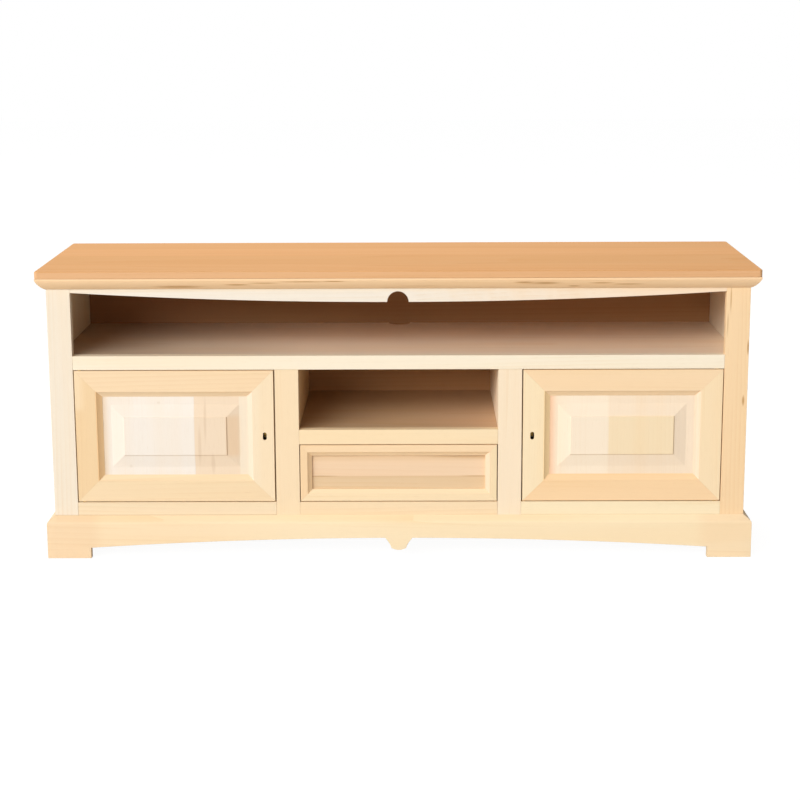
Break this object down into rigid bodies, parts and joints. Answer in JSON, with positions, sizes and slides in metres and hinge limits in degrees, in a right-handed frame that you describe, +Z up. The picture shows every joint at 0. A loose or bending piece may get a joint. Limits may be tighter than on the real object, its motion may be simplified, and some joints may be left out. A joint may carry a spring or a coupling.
{
  "type": "tv cabinet",
  "caption": "Low free-standing television cabinet in unfinished wood: a long open bay and a niche, a drawer, cupboards with raised-panel doors that lock, and an arched plinth.",
  "frame": {"origin": "centre of the footprint, on the floor", "axes": "+X along the cabinet to its right as seen from the front, +Y to the back, +Z up; the front faces -Y"},
  "size_m": [1.55, 0.48, 0.635],
  "materials": {
    "tan_wood": "raw, planed",
    "pale_wood": "raw, planed",
    "warm_wood": "raw, planed",
    "panel_wood": "raw, planed",
    "inner_wood": "raw",
    "steel": "satin",
    "brass": "satin"
  },
  "bodies": {
    "cabinet": {"back_panel": "inner_wood", "bottom_panel": "inner_wood", "bottom_rail_left": "warm_wood", "bottom_rail_centre": "warm_wood", "bottom_rail_right": "warm_wood", "divider_left": "inner_wood", "divider_right": "inner_wood", "drawer_runner_left": "inner_wood", "drawer_runner_right": "inner_wood", "foot_front_left": "warm_wood", "foot_front_right": "warm_wood", "foot_rear_left": "warm_wood", "foot_rear_right": "warm_wood", "frieze": "pale_wood", "inner_stile_left": "warm_wood", "inner_stile_right": "warm_wood", "long_shelf": "inner_wood", "mid_rail": "pale_wood", "niche_rail": "warm_wood", "niche_shelf": "inner_wood", "outer_stile_left": "pale_wood", "outer_stile_right": "pale_wood", "plinth_front": "warm_wood", "plinth_left": "warm_wood", "plinth_right": "warm_wood", "rear_rail": "inner_wood", "side_panel_left": "pale_wood", "side_panel_right": "pale_wood", "top_board": "tan_wood", "top_moulding_front": "warm_wood", "top_moulding_left": "warm_wood", "top_moulding_right": "warm_wood"},
    "left_door": {"door_left_bottom_pivot": "brass", "door_left_bottom_rail": "warm_wood", "door_left_hinge_stile": "warm_wood", "door_left_lock_case": "steel", "door_left_lock_stile": "warm_wood", "door_left_panel": "panel_wood", "door_left_top_pivot": "brass", "door_left_top_rail": "warm_wood"},
    "right_door": {"door_right_bottom_pivot": "brass", "door_right_bottom_rail": "warm_wood", "door_right_hinge_stile": "warm_wood", "door_right_lock_case": "steel", "door_right_lock_stile": "warm_wood", "door_right_panel": "panel_wood", "door_right_top_pivot": "brass", "door_right_top_rail": "warm_wood"},
    "left_bolt": {"door_left_lock_bolt": "brass"},
    "right_bolt": {"door_right_lock_bolt": "brass"},
    "drawer": {"drawer_back": "inner_wood", "drawer_bottom": "inner_wood", "drawer_front_bottom": "warm_wood", "drawer_front_left": "warm_wood", "drawer_front_panel": "warm_wood", "drawer_front_right": "warm_wood", "drawer_front_top": "warm_wood", "drawer_side_left": "inner_wood", "drawer_side_right": "inner_wood"}
  },
  "joints": [
    {"name": "left_door_hinge", "type": "hinge", "parent": "cabinet", "child": "left_door", "pos_m": [-0.6895, -0.2135, 0.2702], "axis": [0, 0, -1], "range_deg": [0, 110]},
    {"name": "right_door_hinge", "type": "hinge", "parent": "cabinet", "child": "right_door", "pos_m": [0.6895, -0.2135, 0.2702], "axis": [0, 0, 1], "range_deg": [0, 110]},
    {"name": "drawer_slide", "type": "slide", "parent": "cabinet", "child": "drawer", "axis": [0, -1, 0], "range_m": [0, 0.28]},
    {"name": "left_bolt_slide", "type": "slide", "parent": "left_door", "child": "left_bolt", "axis": [1, 0, 0], "range_m": [0, 0.02]},
    {"name": "right_bolt_slide", "type": "slide", "parent": "right_door", "child": "right_bolt", "axis": [-1, 0, 0], "range_m": [0, 0.02]}
  ]
}
